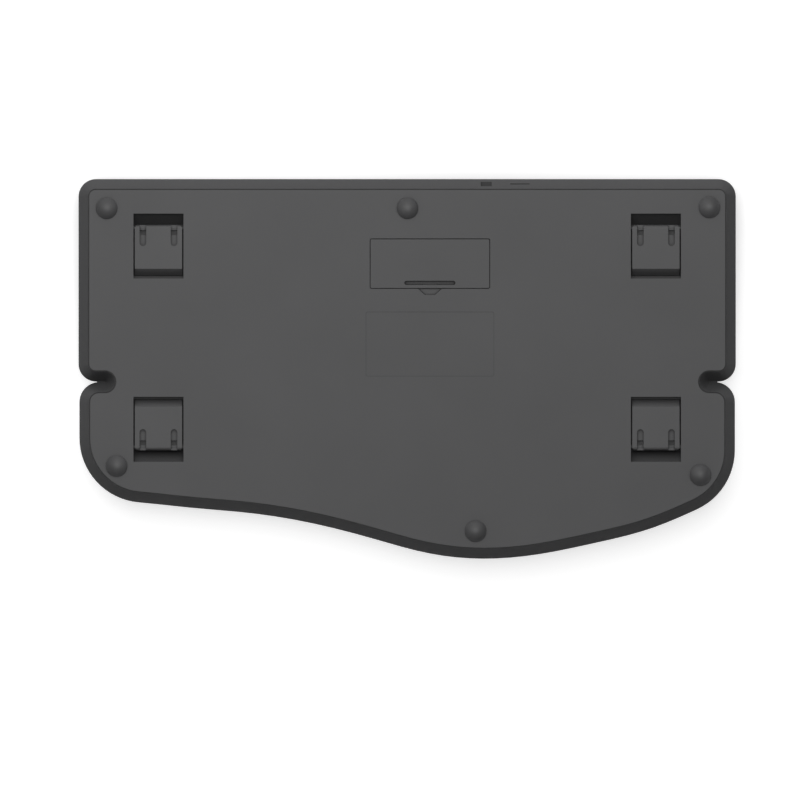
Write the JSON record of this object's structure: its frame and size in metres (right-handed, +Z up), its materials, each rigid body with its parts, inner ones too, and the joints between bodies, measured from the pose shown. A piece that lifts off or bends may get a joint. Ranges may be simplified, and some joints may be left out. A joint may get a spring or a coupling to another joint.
{
  "type": "ergonomic keyboard",
  "caption": "Compact wireless ergonomic keyboard with a waved key field, a joined padded palm rest, folding tilt legs and a battery cover underneath.",
  "frame": {"origin": "middle of the body in plan, on the surface that the feet stand on", "axes": "+X the typist's right, +Y the rear edge, +Z up, keys facing +Z"},
  "size_m": [0.376, 0.2172, 0.0303],
  "materials": {
    "case_plastic": "fine spark texture",
    "palm_plastic": "fine spark texture",
    "leg_plastic": "satin",
    "key_plastic": "fine matte",
    "switch_plastic": "satin",
    "inner_plastic": "satin",
    "receiver_plastic": "satin",
    "pad_skin": "fine grain",
    "foot_rubber": "matte",
    "dome_rubber": "silicone",
    "cell_jacket": "gloss",
    "contact_metal": "nickel",
    "screw_steel": "zinc",
    "plate_metal": "zinc",
    "membrane_film": "film",
    "circuit_board": "solder mask",
    "lens": "clear"
  },
  "bodies": {
    "body": {"bottom_case": "case_plastic", "top_case": "case_plastic", "palm_rest_base": "palm_plastic", "palm_rest_pad": "pad_skin", "battery_cells": "cell_jacket", "battery_contacts": "contact_metal", "usb_receiver": "receiver_plastic", "rubber_feet": "foot_rubber", "controller_board": "circuit_board", "indicator_lenses": "lens", "case_screws": "screw_steel", "key_deck": "inner_plastic", "rubber_domes": "dome_rubber", "membrane_sheet": "membrane_film", "backing_plate": "plate_metal"},
    "leg_rear_left": {"leg_rear_left": "leg_plastic"},
    "leg_rear_right": {"leg_rear_right": "leg_plastic"},
    "leg_front_left": {"leg_front_left": "leg_plastic"},
    "leg_front_right": {"leg_front_right": "leg_plastic"},
    "battery_cover": {"battery_cover": "case_plastic"},
    "power_switch": {"power_switch": "switch_plastic"},
    "left_ctrl_key": {"left_ctrl_key": "key_plastic"},
    "meta_key": {"meta_key": "key_plastic"},
    "left_alt_key": {"left_alt_key": "key_plastic"},
    "space_bar": {"space_bar": "key_plastic"},
    "right_alt_key": {"right_alt_key": "key_plastic"},
    "right_ctrl_key": {"right_ctrl_key": "key_plastic"},
    "left_arrow_key": {"left_arrow_key": "key_plastic"},
    "down_arrow_key": {"down_arrow_key": "key_plastic"},
    "right_arrow_key": {"right_arrow_key": "key_plastic"},
    "left_shift_key": {"left_shift_key": "key_plastic"},
    "low_letter_keys_left": {"low_letter_keys_left": "key_plastic"},
    "low_letter_keys_right": {"low_letter_keys_right": "key_plastic"},
    "right_shift_key": {"right_shift_key": "key_plastic"},
    "up_arrow_key": {"up_arrow_key": "key_plastic"},
    "caps_lock_key": {"caps_lock_key": "key_plastic"},
    "home_letter_keys_left": {"home_letter_keys_left": "key_plastic"},
    "home_letter_keys_right": {"home_letter_keys_right": "key_plastic"},
    "enter_key": {"enter_key": "key_plastic"},
    "tab_key": {"tab_key": "key_plastic"},
    "top_letter_keys_left": {"top_letter_keys_left": "key_plastic"},
    "top_letter_keys_right": {"top_letter_keys_right": "key_plastic"},
    "backslash_key": {"backslash_key": "key_plastic"},
    "number_keys_left": {"number_keys_left": "key_plastic"},
    "number_keys_right": {"number_keys_right": "key_plastic"},
    "backspace_key": {"backspace_key": "key_plastic"},
    "escape_key": {"escape_key": "key_plastic"},
    "function_keys_left": {"function_keys_left": "key_plastic"},
    "function_keys_right": {"function_keys_right": "key_plastic"},
    "insert_key": {"insert_key": "key_plastic"},
    "delete_key": {"delete_key": "key_plastic"},
    "num_zero_key": {"num_zero_key": "key_plastic"},
    "number_pad_digits": {"number_pad_digits": "key_plastic"},
    "num_enter_key": {"num_enter_key": "key_plastic"},
    "num_plus_key": {"num_plus_key": "key_plastic"},
    "number_pad_operators": {"number_pad_operators": "key_plastic"},
    "navigation_keys": {"navigation_keys": "key_plastic"}
  },
  "joints": [
    {"name": "leg_rear_left_hinge", "type": "hinge", "parent": "body", "child": "leg_rear_left", "pos_m": [-0.1421, 0.0803, 0.0048], "axis": [1, 0, 0], "range_deg": [0, 100]},
    {"name": "leg_rear_right_hinge", "type": "hinge", "parent": "body", "child": "leg_rear_right", "pos_m": [0.1421, 0.0803, 0.0048], "axis": [1, 0, 0], "range_deg": [0, 100]},
    {"name": "leg_front_left_hinge", "type": "hinge", "parent": "body", "child": "leg_front_left", "pos_m": [-0.1421, -0.0447, 0.0048], "axis": [-1, 0, 0], "range_deg": [0, 100]},
    {"name": "leg_front_right_hinge", "type": "hinge", "parent": "body", "child": "leg_front_right", "pos_m": [0.1421, -0.0447, 0.0048], "axis": [-1, 0, 0], "range_deg": [0, 100]},
    {"name": "cover_lift", "type": "slide", "parent": "body", "child": "battery_cover", "axis": [0, 0, -1], "range_m": [0, 0.03]},
    {"name": "switch_slide", "type": "slide", "parent": "body", "child": "power_switch", "axis": [1, 0, 0], "range_m": [0, 0.0028]},
    {"name": "left_ctrl_key_press", "type": "slide", "parent": "body", "child": "left_ctrl_key", "axis": [0, 0, -1], "range_m": [0, 0.0026], "stiffness_N_per_m": 260, "springref_m": -0.0008, "deforming": ["rubber_domes"]},
    {"name": "meta_key_press", "type": "slide", "parent": "body", "child": "meta_key", "axis": [0, 0, -1], "range_m": [0, 0.0026], "stiffness_N_per_m": 260, "springref_m": -0.0008, "deforming": ["rubber_domes"]},
    {"name": "left_alt_key_press", "type": "slide", "parent": "body", "child": "left_alt_key", "axis": [0, 0, -1], "range_m": [0, 0.0026], "stiffness_N_per_m": 260, "springref_m": -0.0008, "deforming": ["rubber_domes"]},
    {"name": "space_bar_press", "type": "slide", "parent": "body", "child": "space_bar", "axis": [0, 0, -1], "range_m": [0, 0.0026], "stiffness_N_per_m": 420, "springref_m": -0.0008, "deforming": ["rubber_domes"]},
    {"name": "right_alt_key_press", "type": "slide", "parent": "body", "child": "right_alt_key", "axis": [0, 0, -1], "range_m": [0, 0.0026], "stiffness_N_per_m": 260, "springref_m": -0.0008, "deforming": ["rubber_domes"]},
    {"name": "right_ctrl_key_press", "type": "slide", "parent": "body", "child": "right_ctrl_key", "axis": [0, 0, -1], "range_m": [0, 0.0026], "stiffness_N_per_m": 260, "springref_m": -0.0008, "deforming": ["rubber_domes"]},
    {"name": "left_arrow_key_press", "type": "slide", "parent": "body", "child": "left_arrow_key", "axis": [0, 0, -1], "range_m": [0, 0.0026], "stiffness_N_per_m": 260, "springref_m": -0.0008, "deforming": ["rubber_domes"]},
    {"name": "down_arrow_key_press", "type": "slide", "parent": "body", "child": "down_arrow_key", "axis": [0, 0, -1], "range_m": [0, 0.0026], "stiffness_N_per_m": 260, "springref_m": -0.0008, "deforming": ["rubber_domes"]},
    {"name": "right_arrow_key_press", "type": "slide", "parent": "body", "child": "right_arrow_key", "axis": [0, 0, -1], "range_m": [0, 0.0026], "stiffness_N_per_m": 260, "springref_m": -0.0008, "deforming": ["rubber_domes"]},
    {"name": "left_shift_key_press", "type": "slide", "parent": "body", "child": "left_shift_key", "axis": [0, 0, -1], "range_m": [0, 0.0026], "stiffness_N_per_m": 260, "springref_m": -0.0008, "deforming": ["rubber_domes"]},
    {"name": "low_letter_keys_left_press", "type": "slide", "parent": "body", "child": "low_letter_keys_left", "axis": [0, 0, -1], "range_m": [0, 0.0026], "stiffness_N_per_m": 260, "springref_m": -0.0008, "deforming": ["rubber_domes"]},
    {"name": "low_letter_keys_right_press", "type": "slide", "parent": "body", "child": "low_letter_keys_right", "axis": [0, 0, -1], "range_m": [0, 0.0026], "stiffness_N_per_m": 260, "springref_m": -0.0008, "deforming": ["rubber_domes"]},
    {"name": "right_shift_key_press", "type": "slide", "parent": "body", "child": "right_shift_key", "axis": [0, 0, -1], "range_m": [0, 0.0026], "stiffness_N_per_m": 260, "springref_m": -0.0008, "deforming": ["rubber_domes"]},
    {"name": "up_arrow_key_press", "type": "slide", "parent": "body", "child": "up_arrow_key", "axis": [0, 0, -1], "range_m": [0, 0.0026], "stiffness_N_per_m": 260, "springref_m": -0.0008, "deforming": ["rubber_domes"]},
    {"name": "caps_lock_key_press", "type": "slide", "parent": "body", "child": "caps_lock_key", "axis": [0, 0, -1], "range_m": [0, 0.0026], "stiffness_N_per_m": 260, "springref_m": -0.0008, "deforming": ["rubber_domes"]},
    {"name": "home_letter_keys_left_press", "type": "slide", "parent": "body", "child": "home_letter_keys_left", "axis": [0, 0, -1], "range_m": [0, 0.0026], "stiffness_N_per_m": 260, "springref_m": -0.0008, "deforming": ["rubber_domes"]},
    {"name": "home_letter_keys_right_press", "type": "slide", "parent": "body", "child": "home_letter_keys_right", "axis": [0, 0, -1], "range_m": [0, 0.0026], "stiffness_N_per_m": 260, "springref_m": -0.0008, "deforming": ["rubber_domes"]},
    {"name": "enter_key_press", "type": "slide", "parent": "body", "child": "enter_key", "axis": [0, 0, -1], "range_m": [0, 0.0026], "stiffness_N_per_m": 260, "springref_m": -0.0008, "deforming": ["rubber_domes"]},
    {"name": "tab_key_press", "type": "slide", "parent": "body", "child": "tab_key", "axis": [0, 0, -1], "range_m": [0, 0.0026], "stiffness_N_per_m": 260, "springref_m": -0.0008, "deforming": ["rubber_domes"]},
    {"name": "top_letter_keys_left_press", "type": "slide", "parent": "body", "child": "top_letter_keys_left", "axis": [0, 0, -1], "range_m": [0, 0.0026], "stiffness_N_per_m": 260, "springref_m": -0.0008, "deforming": ["rubber_domes"]},
    {"name": "top_letter_keys_right_press", "type": "slide", "parent": "body", "child": "top_letter_keys_right", "axis": [0, 0, -1], "range_m": [0, 0.0026], "stiffness_N_per_m": 260, "springref_m": -0.0008, "deforming": ["rubber_domes"]},
    {"name": "backslash_key_press", "type": "slide", "parent": "body", "child": "backslash_key", "axis": [0, 0, -1], "range_m": [0, 0.0026], "stiffness_N_per_m": 260, "springref_m": -0.0008, "deforming": ["rubber_domes"]},
    {"name": "number_keys_left_press", "type": "slide", "parent": "body", "child": "number_keys_left", "axis": [0, 0, -1], "range_m": [0, 0.0026], "stiffness_N_per_m": 260, "springref_m": -0.0008, "deforming": ["rubber_domes"]},
    {"name": "number_keys_right_press", "type": "slide", "parent": "body", "child": "number_keys_right", "axis": [0, 0, -1], "range_m": [0, 0.0026], "stiffness_N_per_m": 260, "springref_m": -0.0008, "deforming": ["rubber_domes"]},
    {"name": "backspace_key_press", "type": "slide", "parent": "body", "child": "backspace_key", "axis": [0, 0, -1], "range_m": [0, 0.0026], "stiffness_N_per_m": 260, "springref_m": -0.0008, "deforming": ["rubber_domes"]},
    {"name": "escape_key_press", "type": "slide", "parent": "body", "child": "escape_key", "axis": [0, 0, -1], "range_m": [0, 0.0026], "stiffness_N_per_m": 260, "springref_m": -0.0008, "deforming": ["rubber_domes"]},
    {"name": "function_keys_left_press", "type": "slide", "parent": "body", "child": "function_keys_left", "axis": [0, 0, -1], "range_m": [0, 0.0026], "stiffness_N_per_m": 260, "springref_m": -0.0008, "deforming": ["rubber_domes"]},
    {"name": "function_keys_right_press", "type": "slide", "parent": "body", "child": "function_keys_right", "axis": [0, 0, -1], "range_m": [0, 0.0026], "stiffness_N_per_m": 260, "springref_m": -0.0008, "deforming": ["rubber_domes"]},
    {"name": "insert_key_press", "type": "slide", "parent": "body", "child": "insert_key", "axis": [0, 0, -1], "range_m": [0, 0.0026], "stiffness_N_per_m": 260, "springref_m": -0.0008, "deforming": ["rubber_domes"]},
    {"name": "delete_key_press", "type": "slide", "parent": "body", "child": "delete_key", "axis": [0, 0, -1], "range_m": [0, 0.0026], "stiffness_N_per_m": 260, "springref_m": -0.0008, "deforming": ["rubber_domes"]},
    {"name": "num_zero_key_press", "type": "slide", "parent": "body", "child": "num_zero_key", "axis": [0, 0, -1], "range_m": [0, 0.0026], "stiffness_N_per_m": 260, "springref_m": -0.0008, "deforming": ["rubber_domes"]},
    {"name": "number_pad_digits_press", "type": "slide", "parent": "body", "child": "number_pad_digits", "axis": [0, 0, -1], "range_m": [0, 0.0026], "stiffness_N_per_m": 260, "springref_m": -0.0008, "deforming": ["rubber_domes"]},
    {"name": "num_enter_key_press", "type": "slide", "parent": "body", "child": "num_enter_key", "axis": [0, 0, -1], "range_m": [0, 0.0026], "stiffness_N_per_m": 260, "springref_m": -0.0008, "deforming": ["rubber_domes"]},
    {"name": "num_plus_key_press", "type": "slide", "parent": "body", "child": "num_plus_key", "axis": [0, 0, -1], "range_m": [0, 0.0026], "stiffness_N_per_m": 260, "springref_m": -0.0008, "deforming": ["rubber_domes"]},
    {"name": "number_pad_operators_press", "type": "slide", "parent": "body", "child": "number_pad_operators", "axis": [0, 0, -1], "range_m": [0, 0.0026], "stiffness_N_per_m": 260, "springref_m": -0.0008, "deforming": ["rubber_domes"]},
    {"name": "navigation_keys_press", "type": "slide", "parent": "body", "child": "navigation_keys", "axis": [0, 0, -1], "range_m": [0, 0.0026], "stiffness_N_per_m": 260, "springref_m": -0.0008, "deforming": ["rubber_domes"]}
  ]
}
